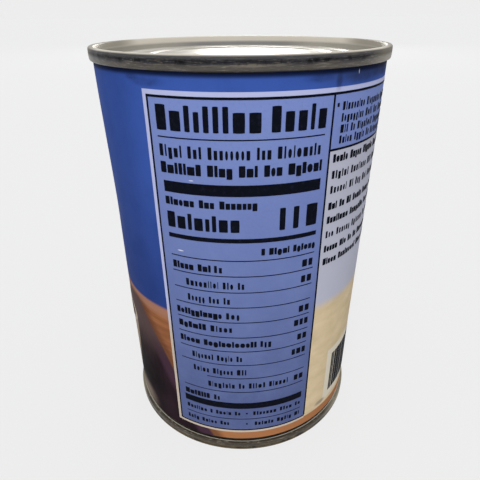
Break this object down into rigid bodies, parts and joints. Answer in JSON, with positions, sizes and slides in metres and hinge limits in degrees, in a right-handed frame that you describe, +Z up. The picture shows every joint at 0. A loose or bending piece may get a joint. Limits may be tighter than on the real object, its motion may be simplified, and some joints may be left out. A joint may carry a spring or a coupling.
{
  "type": "canned beans",
  "caption": "Shut cylindrical tinplate food can of beans with a seamed end at top and bottom and a wrapped paper label carrying a plain table panel.",
  "frame": {"origin": "centre of the circle that the can stands on, at the crest of the bottom seam", "axes": "+Z up along the can's axis; the label's table panel faces -Y, and the label's lap lies at the back"},
  "size_m": [0.0762, 0.0762, 0.1127],
  "materials": {
    "body_tinplate": "satin tinplate",
    "end_tinplate": "tinplate, handled and lightly scuffed",
    "label_paper": "coated printed paper, satin"
  },
  "bodies": {
    "root": {"can_body": "body_tinplate", "top_end": "end_tinplate", "bottom_end": "end_tinplate", "label": "label_paper"}
  },
  "joints": []
}
